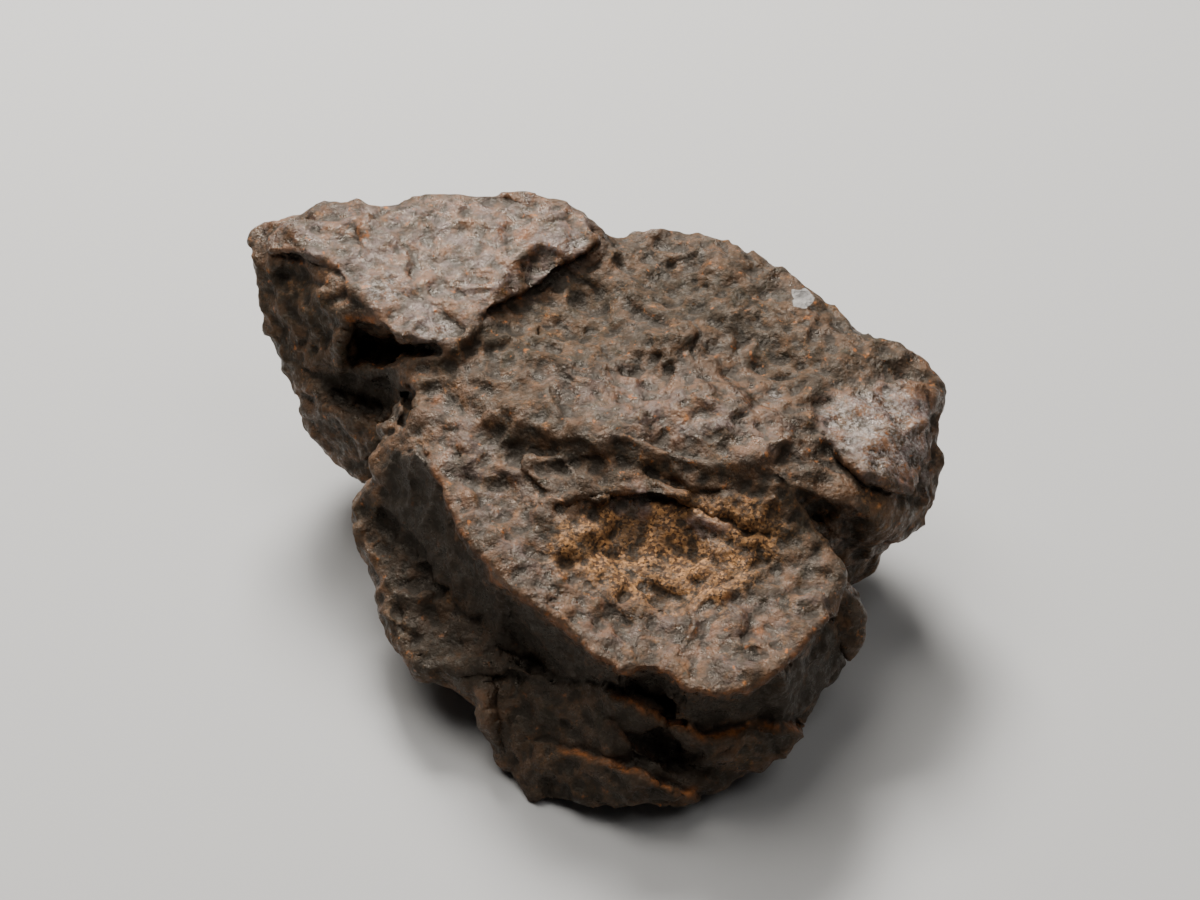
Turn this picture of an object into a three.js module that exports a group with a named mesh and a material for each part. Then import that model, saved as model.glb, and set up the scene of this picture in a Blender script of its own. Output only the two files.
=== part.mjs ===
// A weathered stony meteorite, an ordinary chondrite, as one closed solid.
//
// The stone is a broken, angular lump. A raised plate (the head) sits at the back left, a thick
// upper layer with a sloping shoulder runs to the right, and a lower slab steps down to the front.
// Under the slab's rim the front falls away in two ledges to a small flat foot.
//
// Units are millimetres, +Z is up, +X is right and +Y points to the back of the stone.
// The stone is a field: convex lumps are joined, dishes and cuts are carved out of them, and
// broken-stone relief is laid over the result. The field's zero surface is then meshed by dual
// contouring, which keeps the crests and ledges crisp on a coarse grid.

import * as THREE from "three";
import { ConvexHull } from "three/addons/math/ConvexHull.js";
import { ImprovedNoise } from "three/addons/math/ImprovedNoise.js";

// ---------------------------------------------------------------- driving dimensions

const CELL = 1.5; // grid step of the mesh
const MARGIN = 3; // empty space kept round the lumps on the grid

const SOFT_JOIN = 2.2; // how far the head flows into the body
const CRISP_JOIN = 0.7; // the same for the other lumps, which keep their steps
const SCOOP_EDGE = 0.5; // rounding of the rim of a dish or a cut
const CUT_AXIS = [0, 0.73, -0.68]; // the cuts run in from the front and above
const CUT_OVERSHOOT = 7; // how far a cut starts above its outline

// Broken-stone relief: rounded hollows with crests between them, in two sizes.
const BROAD_RELIEF = { wave: 7.5, height: 1.0, shift: 0 };
const FINE_RELIEF = { wave: 3.6, height: 0.6, shift: 50 };
const MEAN_NOISE = 0.22; // taken off the noise, so that the relief adds nothing on average

const FOOT_SNAP = 0.05; // vertices this near the resting plane lie exactly in it

const STONE_COLOUR = 0x4a352b;
const STONE_ROUGHNESS = 0.55;

// ---------------------------------------------------------------- lumps

// Each lump is the convex hull of its corners, joined to the lumps before it over `join`.
const lumps = {
  // The raised plate at the back left, with its overhanging left face.
  head: {
    join: SOFT_JOIN,
    corners: [
      [-32.9, 21.7, 24.1], [-31.2, 23.2, 25], [-28.5, 24, 26], [-20, 23.5, 27.5],
      [-8.5, 24, 28.5], [-3.5, 23.5, 28], [-1, 22.5, 27], [1, 20.5, 25],
      [-1.5, 16, 26.5], [-5, 12, 26.5], [-11, 8, 25.5], [-13, 6, 24.5],
      [-17.5, 7, 24.5], [-20, 11, 25.5], [-24, 15.5, 25.5], [-32, 21, 22.5],
      [-32, 18.5, 20], [-31, 16.5, 17], [-29, 15, 14], [-27.5, 12.5, 11.5],
      [-26, 10.5, 9.5], [-22, 7, 8],
      [-30.8, 24.2, 20.5], [-24, 26.5, 21], [-12, 27.5, 20], [-2, 26.5, 18],
      [-14, 8, 3], [-10, 16, 2], [-26, 22.5, 11], [-14, 25, 10], [0, 20, 6],
    ],
  },
  // The thick upper layer from the saddle to the right shoulder.
  shoulder: {
    join: SOFT_JOIN,
    corners: [
      [-17, 6, 22], [-10, 0.7, 22.5], [-7.2, -1.5, 22], [-3, -3.2, 22],
      [1, -3.4, 23], [5, -5, 22.5], [9.5, -6, 22], [13, -6, 22],
      [16.5, -7.2, 20.5], [20.5, -8, 19], [23, -8, 17.5], [28.8, -1.7, 13],
      [29.7, 0, 15], [29.5, 2, 17.5], [30.5, 6.4, 18], [30, 6.2, 20],
      [26.6, 8.5, 22], [22, 11.5, 23], [18, 15.5, 23], [14, 18.5, 24],
      [12, 20.5, 25], [8, 22, 25], [3.7, 23.2, 24.5], [1.8, 23.3, 23.5],
      [6, 25.5, 18], [14, 22.5, 17], [22, 16.5, 16], [28, 11, 15.5], [16, 18, 8], [25, 8, 8],
      [26.7, -4.6, 12], [26.9, -3, 8], [24, -3, 4], [18, 9, 4], [6, 18, 5],
      [-12, 4, 4], [4, -4, 2],
    ],
  },
  // The lower slab, whose broken top slopes down to the front rim.
  slab: {
    join: CRISP_JOIN,
    corners: [
      [-17.3, 6.2, 22], [-16, 5, 21.5], [-18.4, 0.1, 18.5], [-20.4, -1, 16],
      [-14.7, -1.9, 20.5], [-12, -9, 19], [-9.4, -12.8, 18], [-5.2, -16.2, 16.5],
      [-0.6, -20.2, 15], [2, -22, 14.5], [7, -23.4, 14], [11, -23.7, 14],
      [14.4, -21.3, 14], [16.2, -18.7, 14.5], [18.4, -16, 15], [20, -14.2, 15.5],
      [20.6, -11, 16.5], [19.3, -10, 17], [15, -5, 19], [0, -2, 20.5],
      [-6, -15, 10], [1, -19, 9], [10, -21, 8], [16, -16, 6], [16, -8, 4],
      [-14, 2, 6],
    ],
  },
  // Two thin broken plates left lying on the slab, against the upper layer.
  leftPlate: {
    join: CRISP_JOIN,
    corners: [
      [-4.5, -3, 21], [-2.3, -7.6, 19.7], [0.5, -6.9, 19.9], [2.8, -5.4, 20.6], [2.8, -4, 21],
      [-4.5, -3, 18], [-2.3, -7, 18], [2.8, -4.8, 18],
    ],
  },
  rightPlate: {
    join: CRISP_JOIN,
    corners: [
      [3, -5.4, 20.4], [4.5, -7.4, 19.7], [7.4, -8.4, 19.3], [11.1, -9.6, 18.9],
      [12.8, -9.6, 18.7], [15.7, -8, 19.1], [14.9, -6, 20.2], [3.3, -4, 20.8],
      [4.5, -6.8, 18], [11, -8.8, 17.5], [15, -7, 17.5],
    ],
  },
  // The swollen lower edge of the head's left face.
  jowl: {
    join: CRISP_JOIN,
    corners: [
      [-28, 13, 15.6], [-26.8, 11.2, 14.8], [-24.6, 9.6, 13.8], [-21.5, 7.2, 13.4],
      [-19.3, 5.2, 13.6], [-26.4, 10.8, 10.4], [-23.8, 8.2, 9], [-22, 6.6, 8],
      [-27, 16, 15], [-20, 10, 14.5], [-18, 8, 6], [-24, 14, 8],
    ],
  },
  // The left flank, standing proud below the slab's left wall.
  flank: {
    join: CRISP_JOIN,
    corners: [
      [-22.6, -3.4, 13.4], [-19.3, -2.2, 13.8], [-14.4, -7.3, 12.2], [-12, -10, 11.6],
      [-10.7, -12.1, 11], [-22, -5.2, 11.4], [-20.8, -7, 10.2], [-19.4, -8.2, 8.8],
      [-18.8, -10, 6.8], [-17.6, -11.8, 5.4], [-15.6, -14.6, 4.8], [-15.2, -14.9, 8],
      [-10.3, -17, 9.5], [-7.3, -18, 10], [-11.2, -15.5, 5],
      [-20, 2.5, 12], [-19.5, 0, 8], [-12, 2, 3], [-8, -10, 2],
    ],
  },
  // The lowest ledge at the front, which spreads to the foot.
  sill: {
    join: CRISP_JOIN,
    corners: [
      [-10.3, -17, 9.5], [-7.3, -18, 10], [-4.1, -19.7, 10.5], [-2, -19.6, 11.5],
      [1, -20.6, 10.5], [5, -22.5, 9.5], [8.4, -24, 8.5], [13.2, -23.2, 7.5],
      [13.8, -22.8, 4], [13.1, -23.2, 3], [-9.7, -17.2, 4.5], [-9.1, -19.4, 2],
      [-8.3, -20.5, 1], [-6, -24, 1], [-3.3, -25.1, 1.5], [0.8, -26, 2],
      [5, -25.7, 2], [9.9, -23.8, 2], [0, -22, 0.8], [9, -18, 0.9], [-5, -16, 0.9],
      [-6, -8, 8], [12, -12, 8],
    ],
  },
  // The blunt corner at the front right, below the slab's rim.
  nose: {
    join: CRISP_JOIN,
    corners: [
      [14.4, -21.3, 14], [13.2, -22.5, 14], [18, -17.6, 14.8], [19.3, -16.9, 14],
      [20, -17.6, 12.5], [20.7, -18.4, 10], [19.6, -19.6, 7.5], [16.9, -21, 6.5],
      [15.7, -21.6, 5], [14.1, -22.7, 4], [13.2, -23.2, 7.5], [10, -14, 4], [16, -12, 8],
    ],
  },
  // A rounded knob behind that corner.
  knob: {
    join: SOFT_JOIN,
    corners: [
      [18, -10.5, 14], [21, -11.8, 13.6], [22.6, -12.6, 11.6], [22.2, -13.9, 9.2],
      [20.4, -16, 7], [17, -14, 5], [18, -8.5, 7], [20.8, -9.4, 11],
    ],
  },
  // The rounded underside that ties the upper lumps together.
  belly: {
    join: SOFT_JOIN,
    corners: [
      [-21, 8, 9], [-23, 16, 12], [-13, 20.5, 8], [3, 18.5, 6], [18, 9, 6], [24, -2, 6],
      [17, -13, 6], [8, -20, 5], [-7, -17, 4], [-14, -9, 6], [-17, 0, 8],
      [-11, 8, 3.5], [3, 14, 3.5], [13, 4, 3.5], [-9, -8, 3.5],
      [-12, 4, 18], [10, 10, 18], [14, -8, 14], [-6, -10, 14],
    ],
  },
  // The foot that carries the stone. The resting plane cuts its lowest layer of corners off.
  foot: {
    join: SOFT_JOIN,
    corners: [
      [-15, 3, 5], [-12, -9, 4], [-7, -17, 3], [11, -19, 3], [18, -8, 5], [17, 6, 5],
      [5, 16, 5], [-9, 14, 5],
      [-12, 3, 1.6], [-9, -10, 1.4], [9, -15, 1.2], [15, -4, 1.6], [11, 9, 1.8], [-6, 12, 1.8],
      [-7, 6, -0.8], [-8, -2, -0.8], [-4, -8, -0.8], [6, -9, -0.8], [10, -3, -0.8], [9, 6, -0.8],
      [3, 11, -0.8], [-3, 11, -0.8],
    ],
  },
};

// ---------------------------------------------------------------- dishes and cuts

// A dish is the hollow that a ball leaves when it is pressed `depth` into the surface at `at`.
const dishes = [
  // Saddle between the head and the shoulder.
  { at: [-2.5, 10.5, 24], facing: [0, 0, 1], radius: 14, depth: 1.5 },
  { at: [6, 14, 24.4], facing: [0, 0, 1], radius: 10, depth: 1.1 },
  { at: [2.5, 3, 23.3], facing: [0, 0, 1], radius: 12, depth: 0.8 },
  // Beside the shoulder's bright facet.
  { at: [13.5, 4.5, 23.2], facing: [0.1, 0, 1], radius: 13, depth: 1.4 },
  // The slab's broken, granular top.
  { at: [4.5, -14, 17], facing: [0, -0.25, 1], radius: 20, depth: 1.4 },
  { at: [13.5, -14, 16.6], facing: [0, -0.2, 1], radius: 9, depth: 0.7 },
  { at: [-8, -6, 20], facing: [-0.1, -0.3, 1], radius: 12, depth: 0.6 },
  // The slab's left wall, with a rib left between the dishes.
  { at: [-15.6, -5.6, 16.2], facing: [-0.75, -0.6, 0.2], radius: 9, depth: 1.9 },
  { at: [-8, -13.6, 13.4], facing: [-0.7, -0.7, 0], radius: 7, depth: 1.5 },
  { at: [-2.6, -17.6, 13], facing: [-0.6, -0.8, 0], radius: 6, depth: 1 },
  // A small arch bitten out of the slab's front rim.
  { at: [4.9, -22.4, 12.9], facing: [0, -1, 0.1], radius: 2.6, depth: 1.5 },
  // The right wall, the back and the underside.
  { at: [25, -3.5, 8], facing: [0.7, -0.6, -0.3], radius: 6, depth: 1.1 },
  { at: [26.5, 5, 12], facing: [0.9, 0.3, -0.3], radius: 10, depth: 1.4 },
  { at: [13, 21.5, 14], facing: [0.5, 0.8, -0.3], radius: 12, depth: 1.6 },
  { at: [-8, 26, 15], facing: [0, 0.95, -0.3], radius: 14, depth: 1.6 },
  { at: [-27, 24.5, 18], facing: [-0.4, 0.9, -0.2], radius: 9, depth: 1.1 },
  { at: [-22, 14, 7.5], facing: [-0.3, 0.3, -0.9], radius: 12, depth: 1.3 },
];

// A cut runs in along CUT_AXIS to `depth` below its outline, and its floor is `taper` of its size.
const cuts = {
  // The deep slot under the head's front corner.
  slot: {
    depth: 5.5,
    taper: 0.75,
    outline: [
      [-22.4, 10.8, 23.4], [-20.9, 10.2, 24.4], [-19.5, 9.2, 24.8], [-13.7, 6.2, 24.5],
      [-17.1, 5.9, 22.7], [-23.2, 10.4, 18.8],
    ],
  },
  // The shallower alcove below the slot.
  alcove: {
    depth: 2.2,
    taper: 0.85,
    outline: [
      [-23.2, 10.4, 19.2], [-25, 11.4, 17.2], [-22.8, 9.1, 14.7], [-19.2, 6.5, 15.2],
      [-17.6, 2.5, 18.8], [-16.2, 2.6, 21.3], [-16.6, 5.2, 22.3],
    ],
  },
  // A wedge broken out of the sill below its upper ledge.
  wedge: {
    depth: 1.8,
    taper: 0.7,
    outline: [
      [1.2, -21.4, 9.8], [4, -22.6, 9.1], [6.4, -23.8, 8.2], [8.4, -24.2, 7.4], [10, -24.2, 4.8],
      [7.7, -24.8, 3.5], [4.8, -24.5, 6], [2.9, -23.5, 7.2], [0.9, -22.1, 8.7],
    ],
  },
};

// ---------------------------------------------------------------- field

const FAR = 1000; // farther than any point of the grid is from the stone

const point = new THREE.Vector3();
const vector = (c) => new THREE.Vector3(...c);
const hullOf = (points) => new ConvexHull().setFromPoints(points);
const meanOf = (points) =>
  points.reduce((sum, p) => sum.addScaledVector(p, 1 / points.length), new THREE.Vector3());

const bodies = Object.values(lumps).map(({ join, corners }) => ({ join, hull: hullOf(corners.map(vector)) }));

const balls = dishes.map(({ at, facing, radius, depth }) => ({
  centre: vector(at).addScaledVector(vector(facing).normalize(), radius - depth),
  radius,
}));

const plugs = Object.values(cuts).map(({ depth, taper, outline }) => {
  const axis = vector(CUT_AXIS).normalize();
  const rim = outline.map(vector);
  const middle = meanOf(rim);
  const mouth = rim.map((p) => p.clone().addScaledVector(axis, -CUT_OVERSHOOT));
  const floor = rim.map((p) => middle.clone().lerp(p, taper).addScaledVector(axis, depth));
  return hullOf([...mouth, ...floor]);
});

// Distance to a hull's nearest face plane: negative inside, positive outside.
const hullDistance = (hull, p) => Math.max(...hull.faces.map((face) => face.distanceToPoint(p)));

function softMin(a, b, reach) {
  const blend = Math.max(reach - Math.abs(a - b), 0) / reach;
  return Math.min(a, b) - (blend * blend * reach) / 4;
}

const softMax = (a, b, reach) => -softMin(-a, -b, reach);

const noise = new ImprovedNoise();

// Rounded hollows with sharp crests between them; positive stands out of the stone.
function relief(p, { wave, height, shift }) {
  return height * (MEAN_NOISE - Math.abs(noise.noise(p.x / wave + shift, p.y / wave, p.z / wave)));
}

// About the distance to the stone's surface: negative inside, positive outside.
function field(x, y, z) {
  point.set(x, y, z);
  let distance = FAR;
  for (const { join, hull } of bodies) distance = softMin(distance, hullDistance(hull, point), join);
  for (const { centre, radius } of balls) {
    distance = softMax(distance, radius - point.distanceTo(centre), SCOOP_EDGE);
  }
  for (const plug of plugs) distance = softMax(distance, -hullDistance(plug, point), SCOOP_EDGE);
  distance -= relief(point, BROAD_RELIEF) + relief(point, FINE_RELIEF);
  return Math.max(distance, -z);
}

// ---------------------------------------------------------------- meshing

// The corners of a grid cell, and its twelve edges as pairs of corner numbers.
const CELL_CORNERS = [0, 1, 2, 3, 4, 5, 6, 7].map((n) => [n & 1, (n >> 1) & 1, n >> 2]);
const CELL_EDGES = [
  [0, 1], [2, 3], [4, 5], [6, 7], [0, 2], [1, 3], [4, 6], [5, 7], [0, 4], [1, 5], [2, 6], [3, 7],
];
const PULL_TO_MEAN = 0.08; // keeps a vertex near its crossings where the faces hardly differ
const GRADIENT_STEP = 0.05;
const BISECTIONS = 8;

function gradient(p) {
  const s = GRADIENT_STEP;
  return new THREE.Vector3(
    field(p.x + s, p.y, p.z) - field(p.x - s, p.y, p.z),
    field(p.x, p.y + s, p.z) - field(p.x, p.y - s, p.z),
    field(p.x, p.y, p.z + s) - field(p.x, p.y, p.z - s),
  ).normalize();
}

// Where the surface crosses the segment from a to b, whose ends have different signs.
function crossing(a, b, insideA) {
  const inner = (insideA ? a : b).clone();
  const outer = (insideA ? b : a).clone();
  const middle = new THREE.Vector3();
  for (let i = 0; i < BISECTIONS; i++) {
    middle.lerpVectors(inner, outer, 0.5);
    (field(middle.x, middle.y, middle.z) < 0 ? inner : outer).copy(middle);
  }
  return middle.lerpVectors(inner, outer, 0.5);
}

// The point that lies nearest to the tangent planes at the crossings, so that it sits on a crest.
function vertexFrom(crossings, low, high) {
  const mean = meanOf(crossings);
  const matrix = new THREE.Matrix3().identity().multiplyScalar(PULL_TO_MEAN);
  const right = new THREE.Vector3();
  const e = matrix.elements;
  for (const c of crossings) {
    const n = gradient(c);
    const offset = n.dot(c) - n.dot(mean);
    const v = [n.x, n.y, n.z];
    for (let i = 0; i < 3; i++) {
      for (let j = 0; j < 3; j++) e[3 * j + i] += v[i] * v[j];
    }
    right.addScaledVector(n, offset);
  }
  const vertex = right.applyMatrix3(matrix.invert()).add(mean).clamp(low, high);
  if (Math.abs(vertex.z) < FOOT_SNAP) vertex.z = 0;
  return vertex;
}

// Where stone meets stone only across the diagonal of a grid face or cell, the skin would touch
// itself. The narrowest gap beside such a diagonal is filled, until none is left.
function fillPinches(values, [nx, ny, nz], index) {
  const facesAtCorner = [[0, 1, 3, 2], [0, 1, 5, 4], [0, 2, 6, 4]];
  const diagonals = [[0, 7], [1, 6], [2, 5], [3, 4]];
  const inside = (n) => values[n] < 0;
  const fillNearest = (gaps) => {
    const nearest = gaps.reduce((best, n) => (values[n] < values[best] ? n : best));
    values[nearest] = -Number.EPSILON;
  };
  let filled = true;
  while (filled) {
    filled = false;
    for (let k = 0; k < nz - 1; k++) {
      for (let j = 0; j < ny - 1; j++) {
        for (let i = 0; i < nx - 1; i++) {
          const corners = CELL_CORNERS.map(([x, y, z]) => index(i + x, j + y, k + z));
          for (const face of facesAtCorner) {
            const [a, b, c, d] = face.map((n) => corners[n]);
            if (inside(a) !== inside(c) || inside(b) !== inside(d) || inside(a) === inside(b)) continue;
            fillNearest(inside(a) ? [b, d] : [a, c]);
            filled = true;
          }
          const count = corners.filter(inside).length;
          if (count !== 2 && count !== 6) continue;
          for (const [m, n] of diagonals) {
            const [a, b] = [corners[m], corners[n]];
            if (inside(a) !== inside(b) || inside(a) !== (count === 2)) continue;
            fillNearest(corners.filter((c) => !inside(c)));
            filled = true;
          }
        }
      }
    }
  }
}

function dualContour(low, counts, cell) {
  const [nx, ny, nz] = counts;
  const index = (i, j, k) => (k * ny + j) * nx + i;
  const place = (i, j, k) => new THREE.Vector3(low.x + i * cell, low.y + j * cell, low.z + k * cell);
  const values = new Float64Array(nx * ny * nz);
  for (let k = 0; k < nz; k++) {
    for (let j = 0; j < ny; j++) {
      for (let i = 0; i < nx; i++) {
        const p = place(i, j, k);
        values[index(i, j, k)] = field(p.x, p.y, p.z);
      }
    }
  }

  fillPinches(values, counts, index);

  const positions = [];
  const vertexOf = new Map();
  for (let k = 0; k < nz - 1; k++) {
    for (let j = 0; j < ny - 1; j++) {
      for (let i = 0; i < nx - 1; i++) {
        const corner = (n) => [i + CELL_CORNERS[n][0], j + CELL_CORNERS[n][1], k + CELL_CORNERS[n][2]];
        const crossings = [];
        for (const [a, b] of CELL_EDGES) {
          const insideA = values[index(...corner(a))] < 0;
          if (insideA !== values[index(...corner(b))] < 0) {
            crossings.push(crossing(place(...corner(a)), place(...corner(b)), insideA));
          }
        }
        if (!crossings.length) continue;
        const vertex = vertexFrom(crossings, place(i, j, k), place(i + 1, j + 1, k + 1));
        vertexOf.set(index(i, j, k), positions.length / 3);
        positions.push(vertex.x, vertex.y, vertex.z);
      }
    }
  }

  // One quad round each grid edge that the surface crosses, from the four cells that share the edge.
  const triangles = [];
  const at = (n) => new THREE.Vector3().fromArray(positions, 3 * n);
  const steps = [[1, 0, 0], [0, 1, 0], [0, 0, 1]];
  for (let k = 1; k < nz - 1; k++) {
    for (let j = 1; j < ny - 1; j++) {
      for (let i = 1; i < nx - 1; i++) {
        const inside = values[index(i, j, k)] < 0;
        steps.forEach((step, axis) => {
          const [di, dj, dk] = step;
          if (inside === values[index(i + di, j + dj, k + dk)] < 0) return;
          const u = steps[(axis + 1) % 3];
          const v = steps[(axis + 2) % 3];
          const cellAt = (a, b) =>
            vertexOf.get(index(i - a * u[0] - b * v[0], j - a * u[1] - b * v[1], k - a * u[2] - b * v[2]));
          const quad = [cellAt(0, 0), cellAt(1, 0), cellAt(1, 1), cellAt(0, 1)];
          if (!inside) quad.reverse();
          const [p, q, r, s] = quad.map(at);
          if (p.distanceTo(r) < q.distanceTo(s)) {
            triangles.push(quad[0], quad[1], quad[2], quad[0], quad[2], quad[3]);
          } else {
            triangles.push(quad[1], quad[2], quad[3], quad[1], quad[3], quad[0]);
          }
        });
      }
    }
  }
  const geometry = new THREE.BufferGeometry();
  geometry.setAttribute("position", new THREE.Float32BufferAttribute(positions, 3));
  geometry.setIndex(triangles);
  return geometry;
}

// ---------------------------------------------------------------- the stone

function stoneGeometry() {
  const box = new THREE.Box3();
  for (const { corners } of Object.values(lumps)) corners.forEach((c) => box.expandByPoint(vector(c)));
  box.expandByScalar(MARGIN);
  const size = box.getSize(new THREE.Vector3());
  const counts = [size.x, size.y, size.z].map((length) => Math.ceil(length / CELL) + 1);
  return dualContour(box.min, counts, CELL);
}

// Stands the stone on z = 0 with the middle of its plan at the origin.
function centreOnFoot(geometry) {
  geometry.computeBoundingBox();
  const { min, max } = geometry.boundingBox;
  geometry.translate(-(min.x + max.x) / 2, -(min.y + max.y) / 2, -min.z);
  return geometry;
}

const geometry = centreOnFoot(stoneGeometry());
geometry.computeVertexNormals();

const material = new THREE.MeshStandardMaterial({
  color: STONE_COLOUR,
  roughness: STONE_ROUGHNESS,
  metalness: 0,
});

const stone = new THREE.Mesh(geometry, material);
stone.name = "chondrite_stone";

const meteorite = new THREE.Group();
meteorite.add(stone);

export default meteorite;
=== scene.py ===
# %% [markdown]
# # A chondrite meteorite
#
# The object is one natural stone, palm-sized and broken into ledges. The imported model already
# holds its true size and its main lumps. Here it gets the finer breakage of a real stone: crisp
# rims, cracks, pits and grain, and a finish that changes from a satin brown skin to raw ochre
# grains. Every length in the model is in metres, so sizes below are written with a helper in mm.

# %% Load the frame
import math

import bpy
import numpy as np
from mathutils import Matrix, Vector
from mathutils.bvhtree import BVHTree


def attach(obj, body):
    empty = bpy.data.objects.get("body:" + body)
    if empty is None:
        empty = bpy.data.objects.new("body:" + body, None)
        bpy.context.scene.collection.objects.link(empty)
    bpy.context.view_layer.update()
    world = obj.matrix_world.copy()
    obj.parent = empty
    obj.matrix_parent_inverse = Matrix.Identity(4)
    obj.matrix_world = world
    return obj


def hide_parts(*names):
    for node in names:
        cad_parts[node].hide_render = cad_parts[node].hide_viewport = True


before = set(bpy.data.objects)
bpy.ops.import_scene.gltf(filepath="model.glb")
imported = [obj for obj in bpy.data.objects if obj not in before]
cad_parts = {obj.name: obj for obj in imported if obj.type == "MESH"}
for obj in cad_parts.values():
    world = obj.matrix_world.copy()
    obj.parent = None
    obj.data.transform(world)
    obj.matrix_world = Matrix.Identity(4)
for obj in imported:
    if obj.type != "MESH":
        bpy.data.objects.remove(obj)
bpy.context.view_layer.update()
MM = 0.001


def mm(*values):
    """A length or a point given in millimetres, in metres."""
    return values[0] * MM if len(values) == 1 else Vector(values) * MM


# %% [markdown]
# ## Camera
#
# A small stone is best seen from above and in front, so that its stepped top and its dark front
# wall both show. A short telephoto lens keeps the stone's proportions, yet the near ledges still
# look nearer than the head.

# %% Camera above and in front of the stone
CAMERA_ELEVATION = math.radians(43)
CAMERA_DISTANCE = mm(171)
CAMERA_AIM = mm(0.995, -0.853, 18)
LENS_MM = 60
SENSOR_MM = 36
NEAREST = mm(10)
FARTHEST = mm(10_000)
FRAME_SIZE = (1200, 900)  # the camera's picture, for placing marks by where they are seen

bpy.ops.object.camera_add()
camera = bpy.context.object
camera.name = "Camera"
camera.data.lens = LENS_MM
camera.data.clip_start = NEAREST
camera.data.clip_end = FARTHEST
towards_camera = Vector((0, -math.cos(CAMERA_ELEVATION), math.sin(CAMERA_ELEVATION)))
camera.location = CAMERA_AIM + towards_camera * CAMERA_DISTANCE
camera.rotation_euler = (math.pi / 2 - CAMERA_ELEVATION, 0, 0)
bpy.context.scene.camera = camera
bpy.context.view_layer.update()
print("camera at, mm:", [round(v / MM, 1) for v in camera.location])

# %% [markdown]
# ## Floor
#
# The stone lies on a plain table. A matt, pale floor is enough: it catches the shadow and sends a
# little light up into the dark undersides.

# %% Floor
FLOOR_WIDTH = 3
FLOOR_COLOUR = (0.46, 0.452, 0.44, 1)
FLOOR_ROUGHNESS = 0.85

bpy.ops.mesh.primitive_plane_add(size=FLOOR_WIDTH, location=(0, 0, 0))
floor = bpy.context.object
floor.name = "floor"
floor_material = bpy.data.materials.new("pale_floor")
floor_material.use_nodes = True
floor_shader = floor_material.node_tree.nodes["Principled BSDF"]
floor_shader.inputs["Base Color"].default_value = FLOOR_COLOUR
floor_shader.inputs["Roughness"].default_value = FLOOR_ROUGHNESS
floor.data.materials.append(floor_material)
print("floor, m:", FLOOR_WIDTH)

# %% [markdown]
# ## Light
#
# Satin stone is read by its reflections. The faces that look up mirror a soft box behind the
# stone and a wide one over it, while the front wall falls dark. One weak box in front keeps that
# wall readable; stronger ones would flatten the steps.

# %% Soft boxes
LIGHT_AIM = mm(0, 0, 12)
SKY_COLOUR = (0.9, 0.93, 1, 1)
SKY_STRENGTH = 0.03


def soft_box(name, place, size, watts, colour=(1, 1, 1)):
    """A square area light at `place`, aimed at the stone's middle."""
    bpy.ops.object.light_add(type="AREA", location=place)
    lamp = bpy.context.object
    lamp.name = name
    lamp.data.shape = "SQUARE"
    lamp.data.size = size
    lamp.data.energy = watts
    lamp.data.color = colour
    lamp.rotation_euler = (LIGHT_AIM - place).to_track_quat("-Z", "Y").to_euler()
    print(name, watts, "W at, mm:", [round(v / MM) for v in place])


soft_box("back_box", mm(-60, 300, 350), size=mm(130), watts=4.4, colour=(1, 0.985, 0.96))
soft_box("top_box", mm(-120, 110, 440), size=mm(300), watts=1.7, colour=(1, 0.98, 0.95))
soft_box("front_fill", mm(170, -100, 420), size=mm(200), watts=0.38)

world = bpy.context.scene.world or bpy.data.worlds.new("World")
bpy.context.scene.world = world
world.use_nodes = True
sky = world.node_tree.nodes["Background"]
sky.inputs["Color"].default_value = SKY_COLOUR
sky.inputs["Strength"].default_value = SKY_STRENGTH

# %% [markdown]
# ## The stone's skin
#
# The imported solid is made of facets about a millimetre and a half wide, which would show from
# this near. A real stone is soft between its breaks, so they are simply rounded: the triangles
# are joined to quads, smoothed once and subdivided once. The sharp breaks are carved again
# afterwards. All this is done on a copy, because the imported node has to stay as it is.

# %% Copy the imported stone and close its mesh
WELD = mm(0.001)


def only(piece):
    """Makes `piece` the one selected and active object."""
    bpy.ops.object.select_all(action="DESELECT")
    piece.select_set(True)
    bpy.context.view_layer.objects.active = piece


def start_editing(piece):
    """Opens the whole mesh of `piece` in Edit Mode."""
    only(piece)
    bpy.ops.object.mode_set(mode="EDIT")
    bpy.ops.mesh.select_all(action="SELECT")


def stop_editing():
    bpy.ops.mesh.select_all(action="DESELECT")
    bpy.ops.object.mode_set(mode="OBJECT")


def copy_of(piece, name):
    """A free copy of `piece`, with a mesh of its own."""
    only(piece)
    bpy.ops.object.duplicate()
    made = bpy.context.object
    made.name = name
    return made


stone = copy_of(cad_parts["chondrite_stone"], "weathered_stone")
stone.parent = None
for key in list(stone.keys()):
    del stone[key]
stone.data.materials.clear()

start_editing(stone)
bpy.ops.mesh.remove_doubles(threshold=WELD)
bpy.ops.mesh.tris_convert_to_quads(face_threshold=math.pi, shape_threshold=math.pi)
stop_editing()
print("stone faces:", len(stone.data.polygons))


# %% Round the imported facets
def add_modifier(piece, kind, **settings):
    """Adds a modifier to `piece`, sets it and applies it."""
    only(piece)
    modifier = piece.modifiers.new(kind.title(), kind)
    for name, value in settings.items():
        setattr(modifier, name, value)
    bpy.ops.object.modifier_apply(modifier=modifier.name)


start_editing(stone)
bpy.ops.mesh.vertices_smooth(factor=0.5, repeat=1)
stop_editing()
add_modifier(stone, "SUBSURF", levels=1)
print("stone faces after rounding:", len(stone.data.polygons))

# %% [markdown]
# ## Carving from the camera
#
# Broken stone is planes that meet at sharp edges. Each plane is carved with two booleans: one
# block fills up to the plane, and one cuts off what stands above it. Sculpting could hardly make
# them as flat. The outlines are drawn on the picture that the camera sees, so a block's sides run
# along the lines of sight.

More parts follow.
